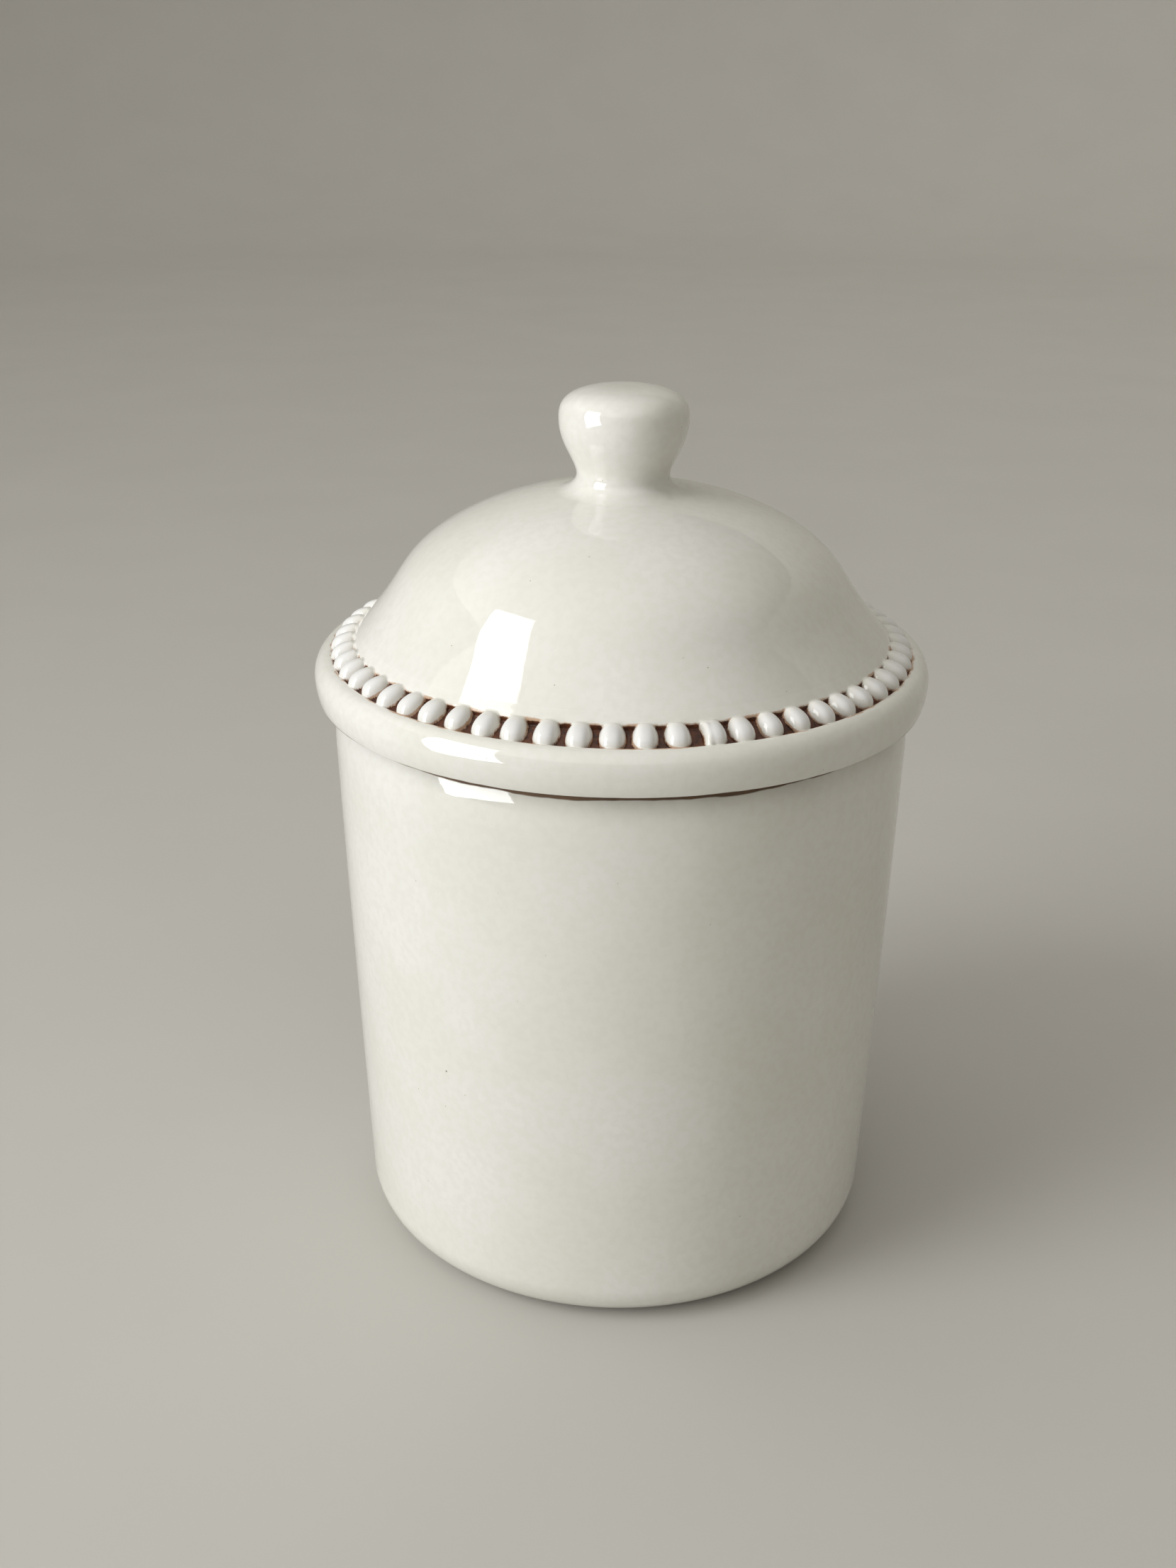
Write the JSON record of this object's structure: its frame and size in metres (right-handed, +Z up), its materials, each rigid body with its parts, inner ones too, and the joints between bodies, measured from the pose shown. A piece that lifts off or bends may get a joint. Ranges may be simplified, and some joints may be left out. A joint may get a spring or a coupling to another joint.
{
  "type": "lidded storage jar",
  "caption": "Round glazed earthenware storage jar with a lift-off domed lid, a rolled rim with a bead border, and a ball knob.",
  "frame": {"origin": "middle of the foot, on the surface the jar stands on", "axes": "+Z up along the jar's axis; the jar is the same all round, so +X and +Y are any two square directions"},
  "size_m": [0.1792, 0.1792, 0.2596],
  "materials": {
    "ivory_glaze": "glossy ivory glaze",
    "bead_glaze": "glossy white glaze with brown stain pooled between the beads"
  },
  "bodies": {
    "jar": {"jar_body": "ivory_glaze"},
    "lid": {"lid_shell": "ivory_glaze", "lid_knob": "ivory_glaze", "bead_border": "bead_glaze"}
  },
  "joints": [
    {"name": "lid_lift", "type": "slide", "parent": "jar", "child": "lid", "axis": [0, 0, 1], "range_m": [0, 0.2]}
  ]
}
